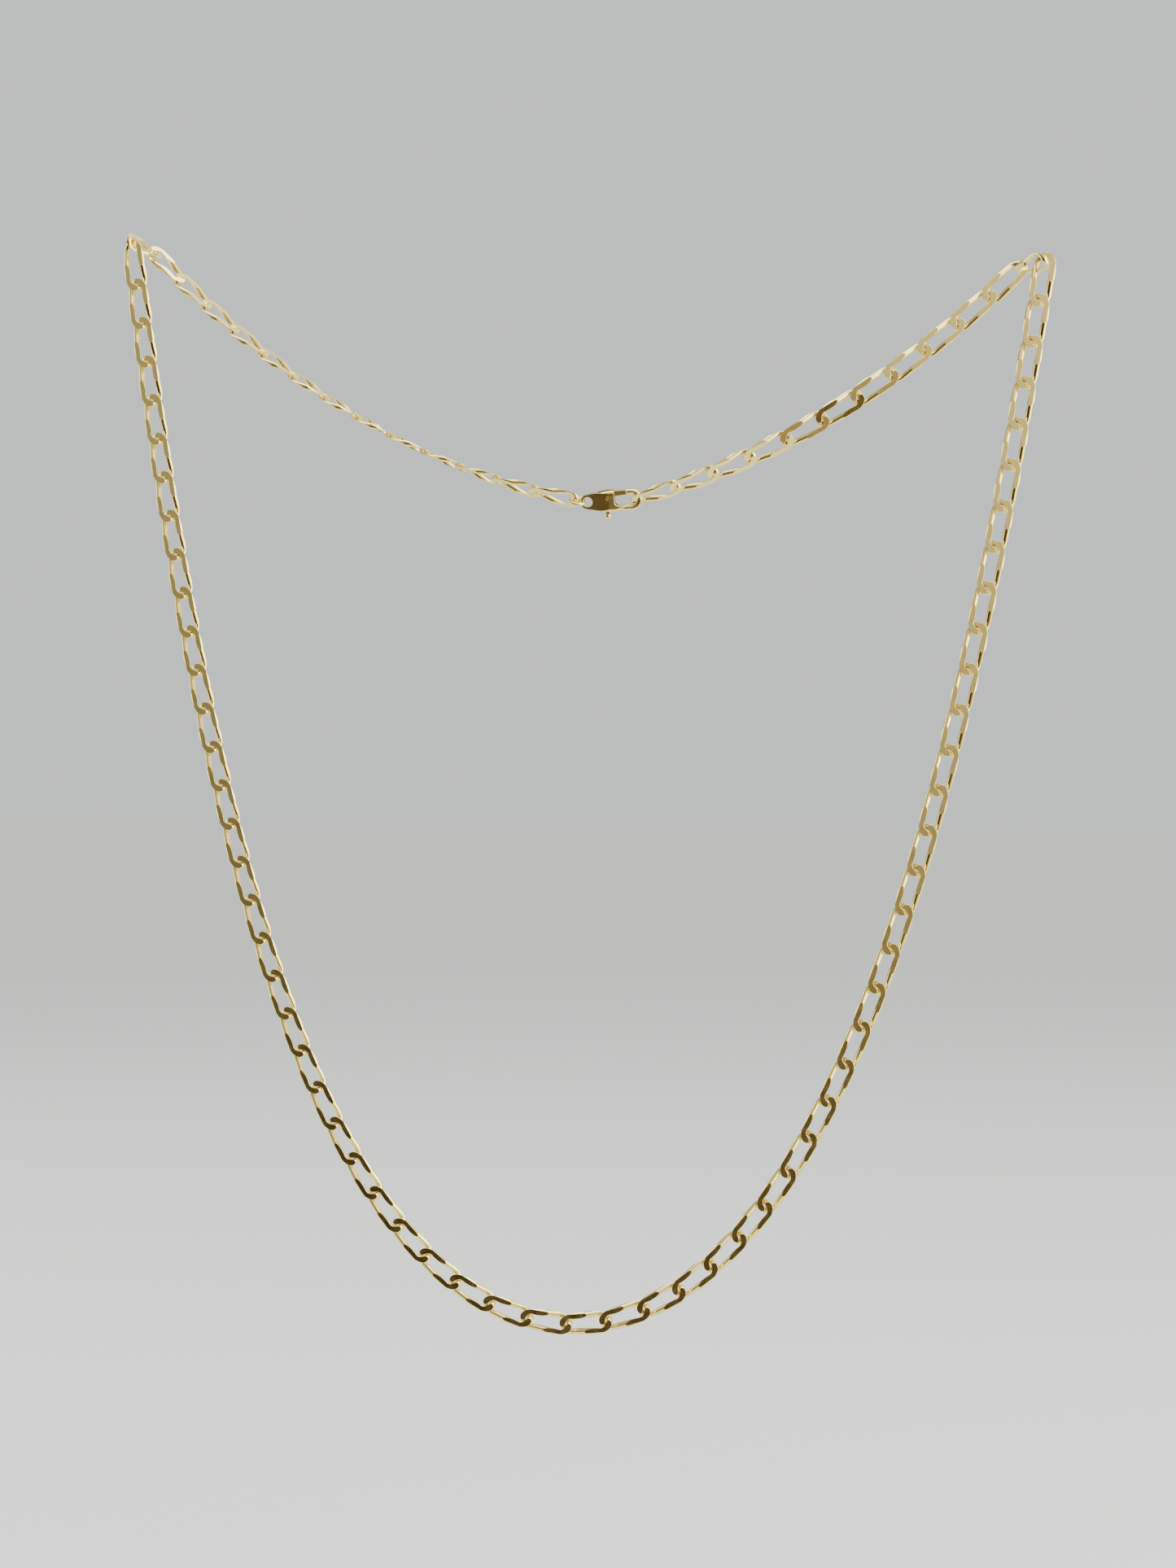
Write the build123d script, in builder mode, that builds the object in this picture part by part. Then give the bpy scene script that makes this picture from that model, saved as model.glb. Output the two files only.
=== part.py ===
"""Filed long-curb chain necklace with a lobster clasp, hanging over two supports.

Millimetres. +Z is up and the wearer's front faces -Y. The origin lies midway between the two links
that rest on the supports. Every strand is listed from left to right.
"""

from build123d import *
from math import atan2, cos, hypot, sin
import os

# ---- chain links ----
pitch = 5.72  # link to link along the chain
wire = 0.88  # wire of a link before filing
link_width = 3.2
slack = 0.12  # play between two neighbouring links
filed_thickness = 0.76  # between the flat front and back
bevel_reach = 1.8  # where the two side bevels of an edge would meet
shoulder_lift = 0.56  # how far the twist lifts a rail's end out of the link's plane

# ---- the hang ----
front_links = 61
back_left_links = 13
back_right_links = 11
paired_back_links = 11
front_span = 131.0
front_drop = 5.4  # how much lower the right end hangs
drape_gap = 4.0  # front drape to back drape
link_weight = 1.0
ring_weight = 0.4
clasp_weight = 7.0

# ---- the links over the supports: reach inwards and back, then rise, swing, tip and roll on the support ----
left_reach = (1.94, 3.89)
left_rise = 0.30
left_turns = (8.7, -6.9, 58.1)
right_reach = (3.26, 4.35)
right_rise = -0.32
right_turns = (-12.3, -0.7, 29.0)

# ---- roll of the back strand's faces, degrees ----
left_roll_at_support = 50
left_roll_mid = 92
left_roll_at_ring = 119
left_roll_step = 9
right_roll_at_clasp = 62
right_roll_step = 9
ring_roll = -60
clasp_roll = 20

# ---- jump ring ----
ring_wire = 0.46
ring_outer = 2.7
ring_play = 0.28
ring_seam = 0.04

# ---- clasp, in its own frame: X from the eye to the hook, Y towards the gate ----
clasp_thickness = 2.0
eye_radius = 1.05
eye_hole_radius = 0.72
eye_thickness = 0.56
belly_start = 3.1
belly_end = 4.0
body_end = 5.7  # the foot of the body under the opening
edge_round = 0.55
hook_x = 6.38  # centre of the hook's bend
hook_bend = 1.15
hook_bar = 0.4
hook_play = 0.1
opening_start = 3.9
cavity_half = 0.42
cavity_start = 1.45
cavity_floor = -0.95
pivot = (3.0, 0.5)
pin_radius = 0.24
lever_thickness = 0.7
gate_reach = 2.7  # pivot to the gate's free end
gate_top = 1.42
hub_radius = 0.52
stem_width = 0.5
knob_radius = 0.48
knob_at = (2.75, -2.2)
fit = 0.04
spring_wire = 0.12
spring_radius = 0.24
spring_turns = 5
spring_height = -0.42

belly_radius = hook_bend + hook_bar
opening_half = hook_bend - hook_bar
hook_seat = hook_x + opening_half
clasp_step = hook_seat - hook_play + eye_hole_radius
ring_step = ring_outer - 2 * ring_wire - ring_play


# ---- one link ----
link_reach = (pitch + wire + slack) / 2
rail_offset = (link_width - wire) / 2


def bisect(mismatch, low, high):
    """The value between low and high where mismatch changes from above 0 to below it."""
    for _ in range(60):
        middle = (low + high) / 2
        if mismatch(middle) > 0:
            low = middle
        else:
            high = middle
    return (low + high) / 2


def apex_rise(bend):
    """The angle at which the wire crosses the tip, for an end bend of this length."""
    return atan2(shoulder_lift * link_reach, rail_offset * (link_reach - bend))


def bend_mismatch(bend):
    """Above 0 until an arc from the tip runs smoothly into the rail."""
    rise = apex_rise(bend)
    rail = link_reach - bend
    leaving = rail_offset * cos(rise) + shoulder_lift * sin(rise)
    arriving = (bend * rail - shoulder_lift**2) / hypot(rail, shoulder_lift)
    return leaving - arriving


end_bend = bisect(bend_mismatch, 0.9, 1.9)
end_rise = apex_rise(end_bend)
rail_half = link_reach - end_bend

with BuildPart() as link:
    for spin in (0, 180):
        for end in (-1, 1):
            tip = Vector(end * link_reach, 0, 0)
            shoulder = Vector(end * rail_half, rail_offset, -end * shoulder_lift).rotate(Axis.X, spin)
            leaving = Vector(0, cos(end_rise), -end * sin(end_rise)).rotate(Axis.X, spin)
            with BuildLine() as bend_line:
                TangentArc(tip, shoulder, tangent=leaving)
            with BuildSketch(Plane(origin=tip, z_dir=leaving)):
                Circle(wire / 2)
            sweep(path=bend_line.line)
        rail_start = Vector(-rail_half, rail_offset, shoulder_lift).rotate(Axis.X, spin)
        rail_end = Vector(rail_half, rail_offset, -shoulder_lift).rotate(Axis.X, spin)
        with BuildSketch(Plane(origin=rail_start, z_dir=rail_end - rail_start)):
            Circle(wire / 2)
        extrude(amount=(rail_end - rail_start).length)
    # the filed envelope: flat front and back, bevelled sides
    flat = filed_thickness / 2
    with BuildSketch(Plane.YZ):
        with BuildLine():
            Polyline(
                (bevel_reach - flat, flat),
                (flat - bevel_reach, flat),
                (-bevel_reach, 0),
                (flat - bevel_reach, -flat),
                (bevel_reach - flat, -flat),
                (bevel_reach, 0),
                close=True,
            )
        make_face()
    extrude(amount=2 * link_reach, both=True, mode=Mode.INTERSECT)


# ---- the hang: each strand is a chain of members with their own lengths and weights ----
def strand(lengths, weights, pull, lowest):
    """Joint points (x, z) of a hanging strand, for a sideways pull and the weight left of its lowest point."""
    points = [(0.0, 0.0)]
    carried = 0.0
    for length, weight in zip(lengths, weights):
        slope = atan2(carried + weight / 2 - lowest, pull)
        x, z = points[-1]
        points.append((x + length * cos(slope), z + length * sin(slope)))
        carried += weight
    return points


def drape(left, right, lengths, weights):
    """Joint points of a strand hung between two points, in the upright plane through them."""
    across = Vector(right.X - left.X, right.Y - left.Y, 0)
    span = across.length
    total = sum(weights)

    def balance(pull):
        return bisect(
            lambda lowest: strand(lengths, weights, pull, lowest)[-1][1] - (right.Z - left.Z),
            0,
            total,
        )

    pull = bisect(
        lambda trial: span - strand(lengths, weights, trial, balance(trial))[-1][0],
        total * 0.02,
        total * 3,
    )
    points = strand(lengths, weights, pull, balance(pull))
    return [left + across * (x / span) + Vector(0, 0, z) for x, z in points]


def placed(start, end, facing, roll):
    """A member's own frame: X along it, Z its face, rolled about X from the facing direction."""
    along = (end - start).normalized()
    face = (facing - along * facing.dot(along)).normalized()
    frame = Plane(origin=(start + end) / 2, x_dir=along, z_dir=face)
    return frame.location * Location((0, 0, 0), (1, 0, 0), roll)


def over_support(start, end, rise, turns):
    """A support link's frame: between the two drapes' ends, raised and turned as it lies on its support."""
    swing, tip, roll = turns
    along = (end - start).rotate(Axis.Z, swing).rotate(Axis.X, tip)
    middle = (start + end) / 2 + Vector(0, 0, rise)
    return placed(middle - along / 2, middle + along / 2, upwards, roll)


def back_left_roll(number):
    """Roll of a link left of the ring: slowly edge-on, then on by even steps to the ring."""
    from_ring = back_left_links - number
    eased = left_roll_at_support + (left_roll_mid - left_roll_at_support) * (number - 1) / 9
    return -max(min(eased, left_roll_mid), left_roll_at_ring - left_roll_step * from_ring)


def back_right_roll(number):
    """Roll of a link right of the clasp: it turns back to face forwards by even steps."""
    return max(right_roll_at_clasp - right_roll_step * (number - 1), 0)


towards_viewer = Vector(0, -1, 0)
upwards = Vector(0, 0, 1)
front_left = Vector(-front_span / 2, -drape_gap / 2, front_drop / 2)
front_right = Vector(front_span / 2, -drape_gap / 2, -front_drop / 2)
back_left = front_left + Vector(left_reach[0], left_reach[1], 0)
back_right = front_right + Vector(-right_reach[0], right_reach[1], 0)

front_joints = drape(front_left, front_right, [pitch] * front_links, [link_weight] * front_links)
back_lengths = [pitch] * back_left_links + [ring_step, clasp_step] + [pitch] * back_right_links
back_weights = [link_weight] * back_left_links + [ring_weight, clasp_weight] + [link_weight] * back_right_links
back_joints = drape(back_left, back_right, back_lengths, back_weights)

front_frames = [placed(a, b, towards_viewer, 0) for a, b in zip(front_joints, front_joints[1:])]
ring_index = back_left_links
clasp_index = back_left_links + 1
back_rolls = [back_left_roll(n) for n in range(1, back_left_links + 1)]
back_rolls += [ring_roll, clasp_roll]
back_rolls += [back_right_roll(n) for n in range(1, back_right_links + 1)]
back_frames = [
    placed(a, b, towards_viewer, roll) for a, b, roll in zip(back_joints, back_joints[1:], back_rolls)
]
left_support_frame = over_support(front_left, back_left, left_rise, left_turns)
right_support_frame = over_support(front_right, back_right, right_rise, right_turns)

os.makedirs("parts", exist_ok=True)

# ---- the two links that rest on the supports ----
for name, frame in (("support_link_left", left_support_frame), ("support_link_right", right_support_frame)):
    with BuildPart() as support_link:
        add(link.part.moved(frame))
    support_link.part.label = name
    export_step(support_link.part, f"parts/{name}.step")

# ---- front drape: link n from the left and link n from the right share a level ----
front_levels = (front_links + 1) // 2
for level in range(1, front_levels + 1):
    left_frame = front_frames[level - 1]
    right_frame = front_frames[front_links - level]
    with BuildPart() as front_pair:
        add(link.part.moved(left_frame))
        if level < front_levels:
            add(link.part.moved(right_frame))
    front_pair.part.label = f"front_links_{level:02d}"
    export_step(front_pair.part, f"parts/front_links_{level:02d}.step")

# ---- back strand: the same pairing, out to the clasp ----
for level in range(1, paired_back_links + 1):
    with BuildPart() as back_pair:
        add(link.part.moved(back_frames[level - 1]))
        add(link.part.moved(back_frames[-level]))
    back_pair.part.label = f"back_links_{level:02d}"
    export_step(back_pair.part, f"parts/back_links_{level:02d}.step")

for number in range(paired_back_links + 1, back_left_links + 1):
    with BuildPart() as back_link:
        add(link.part.moved(back_frames[number - 1]))
    back_link.part.label = f"back_link_{number:02d}"
    export_step(back_link.part, f"parts/back_link_{number:02d}.step")

# ---- jump ring, with its butted seam ----
ring_radius = (ring_outer - ring_wire) / 2
with BuildPart() as jump_ring_shape:
    with BuildSketch(Plane.XZ):
        with Locations((ring_radius, 0)):
            Circle(ring_wire / 2)
    revolve(axis=Axis.Z)
    with Locations((0, ring_radius, 0)):
        Box(ring_seam, 2 * ring_wire, 2 * ring_wire, mode=Mode.SUBTRACT)

with BuildPart() as jump_ring:
    add(jump_ring_shape.part.moved(back_frames[ring_index]))
jump_ring.part.label = "jump_ring"
export_step(jump_ring.part, "parts/jump_ring.step")

# ---- clasp: its member runs from the left edge of the eye's hole to the hook's seat ----
clasp_frame = back_frames[clasp_index] * Location((-(hook_seat - hook_play - eye_hole_radius) / 2, 0, 0))

with BuildPart() as clasp_shape:
    with BuildSketch():
        with BuildLine():
            CenterArc((0, 0), eye_radius, 0, 360)
            CenterArc((belly_start, 0), belly_radius, 0, 360)
            CenterArc((belly_end, 0), belly_radius, 0, 360)
        make_hull()
    extrude(amount=clasp_thickness / 2, both=True)
    fillet(clasp_shape.faces().filter_by(Axis.Z).edges(), radius=edge_round)
    # seen from above, the body is slim at the eye, full at the belly, and slims again into the hook
    half = clasp_thickness / 2
    eye_half = eye_thickness / 2
    with BuildSketch(Plane.XZ):
        with BuildLine():
            Spline((-eye_radius, eye_half), (0.9, 0.5 * half), (belly_start, half), (body_end, 0.6 * half))
            Line((body_end, 0.6 * half), (body_end, -0.6 * half))
            Spline((body_end, -0.6 * half), (belly_start, -half), (0.9, -0.5 * half), (-eye_radius, -eye_half))
            Line((-eye_radius, -eye_half), (-eye_radius, eye_half))
        make_face()
    extrude(amount=2 * belly_radius, both=True, mode=Mode.INTERSECT)
    # the opening, and the side of it that the gate closes
    with BuildSketch():
        with Locations(((opening_start + hook_x) / 2, 0)):
            RectangleRounded(hook_x - opening_start, 2 * opening_half, 0.9 * opening_half)
        with Locations(((opening_start + hook_x) / 2, belly_radius)):
            Rectangle(hook_x - opening_start, 2 * belly_radius)
    extrude(amount=clasp_thickness, both=True, mode=Mode.SUBTRACT)
    # the hook, a round bar bent back to meet the gate
    with BuildLine() as hook_line:
        Line((belly_start, -hook_bend), (hook_x, -hook_bend))
        CenterArc((hook_x, 0), hook_bend, -90, 180)
        Line((hook_x, hook_bend), (pivot[0] + gate_reach - hook_bar, hook_bend))
    with BuildSketch(Plane(origin=hook_line.line @ 0, z_dir=hook_line.line % 0)):
        Circle(hook_bar)
    sweep(path=hook_line.line)
    with BuildSketch():
        Circle(eye_hole_radius)
    extrude(amount=clasp_thickness, both=True, mode=Mode.SUBTRACT)
    # the lever's cavity, open to the gate side, and the slot for its thumb stem
    with BuildSketch():
        with Locations(pivot):
            Circle(gate_reach + fit)
        with Locations((opening_start + gate_reach, gate_reach + 0.1)):
            Rectangle(2 * gate_reach, 2 * gate_reach, mode=Mode.INTERSECT)
    extrude(amount=clasp_thickness, both=True, mode=Mode.SUBTRACT)
    with BuildSketch():
        with Locations(((cavity_start + opening_start) / 2 + 0.25, 1.0)):
            Rectangle(opening_start - cavity_start + 0.5, 2 * (1.0 - cavity_floor))
        with Locations((2.4, -1.5)):
            Rectangle(1.9, 1.5)
    extrude(amount=cavity_half, both=True, mode=Mode.SUBTRACT)
    with BuildSketch():
        with Locations(pivot):
            Circle(pin_radius)
    extrude(amount=clasp_thickness, both=True, mode=Mode.SUBTRACT)

with BuildPart() as clasp_body:
    add(clasp_shape.part.moved(clasp_frame))
clasp_body.part.label = "clasp_body"
export_step(clasp_body.part, "parts/clasp_body.step")

# ---- lever: gate arm, hub and thumb stem in one plate, with a round knob ----
with BuildPart() as lever_shape:
    with BuildSketch():
        with BuildLine():
            Polyline(
                (pivot[0] - 0.3, pivot[1] + 0.3),
                (pivot[0] + 0.1, gate_top),
                (pivot[0] + gate_reach, gate_top),
                (pivot[0] + gate_reach, opening_half + 0.06),
                (pivot[0] + 1.2, opening_half - 0.06),
                (pivot[0] + 0.3, pivot[1] - 0.3),
                close=True,
            )
        make_face()
        with Locations(pivot):
            Circle(gate_reach, mode=Mode.INTERSECT)
            Circle(hub_radius)
        with BuildLine():
            Polyline(
                (pivot[0] - stem_width / 2, pivot[1]),
                (pivot[0] + stem_width / 2, pivot[1]),
                (knob_at[0] + stem_width / 2, knob_at[1]),
                (knob_at[0] - stem_width / 2, knob_at[1]),
                close=True,
            )
        make_face()
        with Locations(pivot):
            Circle(pin_radius + fit / 2, mode=Mode.SUBTRACT)
    extrude(amount=lever_thickness / 2, both=True)
    with Locations((knob_at[0], knob_at[1], 0)):
        Sphere(knob_radius)

with BuildPart() as clasp_lever:
    add(lever_shape.part.moved(clasp_frame))
clasp_lever.part.label = "clasp_lever"
export_step(clasp_lever.part, "parts/clasp_lever.step")

# ---- pivot pin, riveted flush with the clasp's sides ----
with BuildPart() as pin_shape:
    with BuildSketch():
        with Locations(pivot):
            Circle(pin_radius)
    extrude(amount=clasp_thickness / 2 - fit, both=True)

with BuildPart() as lever_pin:
    add(pin_shape.part.moved(clasp_frame))
lever_pin.part.label = "lever_pin"
export_step(lever_pin.part, "parts/lever_pin.step")

# ---- return spring between the cavity's end and the lever's stem ----
spring_start = cavity_start + spring_wire
spring_length = pivot[0] - stem_width / 2 - 0.1 - spring_wire - spring_start
with BuildPart() as spring_shape:
    with BuildLine() as coil:
        Helix(
            pitch=spring_length / spring_turns,
            height=spring_length,
            radius=spring_radius,
            center=(spring_start, spring_height, 0),
            direction=(1, 0, 0),
        )
    with BuildSketch(Plane(origin=coil.line @ 0, z_dir=coil.line % 0)):
        Circle(spring_wire / 2)
    sweep(path=coil.line, is_frenet=True)

with BuildPart() as lever_spring:
    add(spring_shape.part.moved(clasp_frame))
lever_spring.part.label = "lever_spring"
export_step(lever_spring.part, "parts/lever_spring.step")
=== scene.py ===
"""Filed curb necklace over two supports, lit softly from the right, above and the left. Metres."""

import bpy
import math
from mathutils import Matrix, Vector

# ---- camera, at the photograph's angle ----
AIM = Vector((0.0028, -0.0020, -0.0753))
DISTANCE = 0.310
YAW, PITCH, ROLL = math.radians(8.8), math.radians(-0.5), math.radians(0.63)
SENSOR_HEIGHT = 36
LENS = 50.4
NEAR, FAR = 0.01, 50

# ---- sockets of a colour mix node ----
MIX_FACTOR, MIX_A, MIX_B, MIX_COLOUR = 0, 6, 7, 2

# ---- gold: tints, roughness, and noise scales per metre ----
GOLD_TINTS = ((0.84, 0.66, 0.20, 1), (0.93, 0.77, 0.29, 1))
GOLD_ROUGHNESS = (0.10, 0.2)
TINT_SCALE, WEAR_SCALE = 260, 900
EDGE_RADIUS, EDGE_SAMPLES = 0.00007, 6
LINE_SCALE, LINE_STRETCH = 5200, (1, 1, 0.15)
LINE_STRENGTH, LINE_DEPTH = 0.05, 0.00002
RIPPLE_SCALE = 420
RIPPLE_STRENGTH, RIPPLE_DEPTH = 0.25, 0.0001

# ---- spring wire ----
STEEL_TINTS = ((0.50, 0.50, 0.51, 1), (0.64, 0.64, 0.65, 1))
STEEL_ROUGHNESS = (0.22, 0.38)
STEEL_TINT_SCALE, STEEL_WEAR_SCALE = 2500, 6000

# ---- surroundings ----
FLOOR_SIZE, FLOOR_PLACE = 12, (0, 5.88, -0.20)
FLOOR_COLOUR, FLOOR_ROUGHNESS = (0.82, 0.85, 0.83, 1), 0.9
BACKDROP_COLOUR = (0.78, 0.81, 0.80, 1)
# what the metal mirrors, from straight down (0) to straight up (1)
MIRRORED = (
    (0.22, (0.24, 0.19, 0.15, 1)),
    (0.34, (0.06, 0.042, 0.03, 1)),
    (0.44, (0.10, 0.072, 0.052, 1)),
    (0.49, (0.36, 0.33, 0.28, 1)),
    (0.56, (0.62, 0.58, 0.51, 1)),
    (0.72, (0.95, 0.93, 0.86, 1)),
)
# how strong that is towards the left and towards the right
SIDE_REACH = 0.25
LEFT_STRENGTH, RIGHT_STRENGTH = 0.65, 1.9
# name, place, target, size, watts, colour
LIGHTS = (
    ("window", (0.62, -0.26, -0.02), (0, 0, -0.08), (0.9, 0.8), 11.0, (1, 0.98, 0.93)),
    ("ceiling", (0.0, -0.15, 0.60), (0, 0, -0.05), (0.8, 0.5), 5.0, (1, 0.99, 0.96)),
    ("left_fill", (-0.6, 0.1, 0.05), (0, 0, -0.05), (0.35, 0.6), 1.5, (1, 0.97, 0.92)),
)


def make_camera():
    """A camera that looks at AIM along YAW and PITCH, rolled about its own view."""
    forward = Vector(
        (-math.sin(YAW) * math.cos(PITCH), math.cos(YAW) * math.cos(PITCH), -math.sin(PITCH))
    )
    right = forward.cross(Vector((0, 0, 1))).normalized()
    up = right.cross(forward)
    right, up = (
        right * math.cos(ROLL) + up * math.sin(ROLL),
        up * math.cos(ROLL) - right * math.sin(ROLL),
    )
    data = bpy.data.cameras.new("camera")
    data.sensor_fit = "VERTICAL"
    data.sensor_height = SENSOR_HEIGHT
    data.lens = LENS
    data.clip_start = NEAR
    data.clip_end = FAR
    camera = bpy.data.objects.new("camera", data)
    bpy.context.scene.collection.objects.link(camera)
    turn = Matrix((right, up, -forward)).transposed()
    camera.matrix_world = Matrix.Translation(AIM - forward * DISTANCE) @ turn.to_4x4()
    bpy.context.scene.camera = camera


# ---- node helpers ----
def new_material(name):
    material = bpy.data.materials.new(name)
    material.use_nodes = True
    nodes, links = material.node_tree.nodes, material.node_tree.links
    return material, nodes, links, nodes["Principled BSDF"]


def ramp(nodes, links, source, low, high, start=0.3, end=0.7):
    """The source, mapped from start..end to low..high."""
    node = nodes.new("ShaderNodeMapRange")
    node.inputs["From Min"].default_value = start
    node.inputs["From Max"].default_value = end
    node.inputs["To Min"].default_value = low
    node.inputs["To Max"].default_value = high
    links.new(source, node.inputs["Value"])
    return node.outputs["Result"]


def noise(nodes, links, coords, scale, detail=3.0, stretch=(1, 1, 1)):
    mapping = nodes.new("ShaderNodeMapping")
    mapping.inputs["Scale"].default_value = stretch
    links.new(coords, mapping.inputs["Vector"])
    node = nodes.new("ShaderNodeTexNoise")
    node.inputs["Scale"].default_value = scale
    node.inputs["Detail"].default_value = detail
    links.new(mapping.outputs["Vector"], node.inputs["Vector"])
    return node.outputs["Fac"]


def bump(nodes, links, height, normal, strength, distance):
    node = nodes.new("ShaderNodeBump")
    node.inputs["Strength"].default_value = strength
    node.inputs["Distance"].default_value = distance
    links.new(height, node.inputs["Height"])
    links.new(normal, node.inputs["Normal"])
    return node.outputs["Normal"]


# ---- materials ----
def bare_metal(name, tints, tint_scale, roughness, wear_scale):
    """A metal whose colour and roughness both vary a little over the surface."""
    material, nodes, links, shader = new_material(name)
    coords = nodes.new("ShaderNodeTexCoord").outputs["Object"]
    shader.inputs["Metallic"].default_value = 1.0
    tint = nodes.new("ShaderNodeMix")
    tint.data_type = "RGBA"
    tint.inputs[MIX_A].default_value, tint.inputs[MIX_B].default_value = tints
    links.new(noise(nodes, links, coords, tint_scale), tint.inputs[MIX_FACTOR])
    links.new(tint.outputs[MIX_COLOUR], shader.inputs["Base Color"])
    wear = ramp(nodes, links, noise(nodes, links, coords, wear_scale), *roughness)
    links.new(wear, shader.inputs["Roughness"])
    return material, nodes, links, shader, coords


def polished_gold():
    """Pale yellow gold: polished, with faint polishing lines, soft ripples and rounded file edges."""
    material, nodes, links, shader, coords = bare_metal(
        "polished_gold", GOLD_TINTS, TINT_SCALE, GOLD_ROUGHNESS, WEAR_SCALE
    )
    edge = nodes.new("ShaderNodeBevel")
    edge.samples = EDGE_SAMPLES
    edge.inputs["Radius"].default_value = EDGE_RADIUS
    lines = noise(nodes, links, coords, LINE_SCALE, 2, LINE_STRETCH)
    normal = bump(nodes, links, lines, edge.outputs["Normal"], LINE_STRENGTH, LINE_DEPTH)
    ripples = noise(nodes, links, coords, RIPPLE_SCALE, 1)
    normal = bump(nodes, links, ripples, normal, RIPPLE_STRENGTH, RIPPLE_DEPTH)
    links.new(normal, shader.inputs["Normal"])
    return material


def spring_steel():
    """Drawn spring wire: grey and satin."""
    return bare_metal(
        "spring_steel", STEEL_TINTS, STEEL_TINT_SCALE, STEEL_ROUGHNESS, STEEL_WEAR_SCALE
    )[0]


def floor_material():
    material, _, _, shader = new_material("floor")
    shader.inputs["Base Color"].default_value = FLOOR_COLOUR
    shader.inputs["Roughness"].default_value = FLOOR_ROUGHNESS
    return material


# ---- surroundings ----
def area_light(name, place, target, size, watts, colour):
    data = bpy.data.lights.new(name, "AREA")
    data.shape = "RECTANGLE"
    data.size, data.size_y = size
    data.energy = watts
    data.color = colour
    light = bpy.data.objects.new(name, data)
    light.location = place
    light.rotation_euler = (Vector(target) - Vector(place)).to_track_quat("-Z", "Y").to_euler()
    bpy.context.scene.collection.objects.link(light)


def make_world():
    """A pale backdrop; what the metal mirrors is dark below eye level, bright above and to the right."""
    world = bpy.data.worlds.new("studio")
    bpy.context.scene.world = world
    world.use_nodes = True
    nodes, links = world.node_tree.nodes, world.node_tree.links
    split = nodes.new("ShaderNodeSeparateXYZ")
    links.new(nodes.new("ShaderNodeTexCoord").outputs["Generated"], split.inputs["Vector"])
    height = nodes.new("ShaderNodeValToRGB")
    stops = height.color_ramp.elements
    stops[0].position, stops[0].color = MIRRORED[0]
    stops[1].position, stops[1].color = MIRRORED[-1]
    for position, colour in MIRRORED[1:-1]:
        stops.new(position).color = colour
    links.new(ramp(nodes, links, split.outputs["Z"], 0, 1, -1, 1), height.inputs["Fac"])
    side = ramp(
        nodes, links, split.outputs["X"], LEFT_STRENGTH, RIGHT_STRENGTH, -SIDE_REACH, SIDE_REACH
    )
    lit = nodes.new("ShaderNodeVectorMath")
    lit.operation = "SCALE"
    links.new(height.outputs["Color"], lit.inputs[0])
    links.new(side, lit.inputs["Scale"])
    # the camera and soft light see the plain backdrop instead
    path = nodes.new("ShaderNodeLightPath")
    plain = nodes.new("ShaderNodeMath")
    plain.operation = "MAXIMUM"
    links.new(path.outputs["Is Camera Ray"], plain.inputs[0])
    links.new(path.outputs["Is Diffuse Ray"], plain.inputs[1])
    pick = nodes.new("ShaderNodeMix")
    pick.data_type = "RGBA"
    pick.inputs[MIX_B].default_value = BACKDROP_COLOUR
    links.new(plain.outputs["Value"], pick.inputs[MIX_FACTOR])
    links.new(lit.outputs["Vector"], pick.inputs[MIX_A])
    links.new(pick.outputs[MIX_COLOUR], nodes["Background"].inputs["Color"])


def make_floor():
    bpy.ops.mesh.primitive_plane_add(size=FLOOR_SIZE, location=FLOOR_PLACE)
    floor = bpy.context.object
    floor.name = "floor"
    floor.data.materials.append(floor_material())


make_camera()
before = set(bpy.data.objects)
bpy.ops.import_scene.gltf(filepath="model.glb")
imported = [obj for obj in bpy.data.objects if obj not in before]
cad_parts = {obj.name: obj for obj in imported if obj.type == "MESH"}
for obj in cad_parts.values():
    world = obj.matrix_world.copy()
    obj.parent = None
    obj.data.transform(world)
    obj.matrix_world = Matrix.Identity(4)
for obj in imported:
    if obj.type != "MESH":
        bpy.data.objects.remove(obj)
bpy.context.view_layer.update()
gold, steel = polished_gold(), spring_steel()
for name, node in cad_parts.items():
    node.data.materials.clear()
    node.data.materials.append(steel if name == "lever_spring" else gold)
make_floor()
make_world()
for light in LIGHTS:
    area_light(*light)
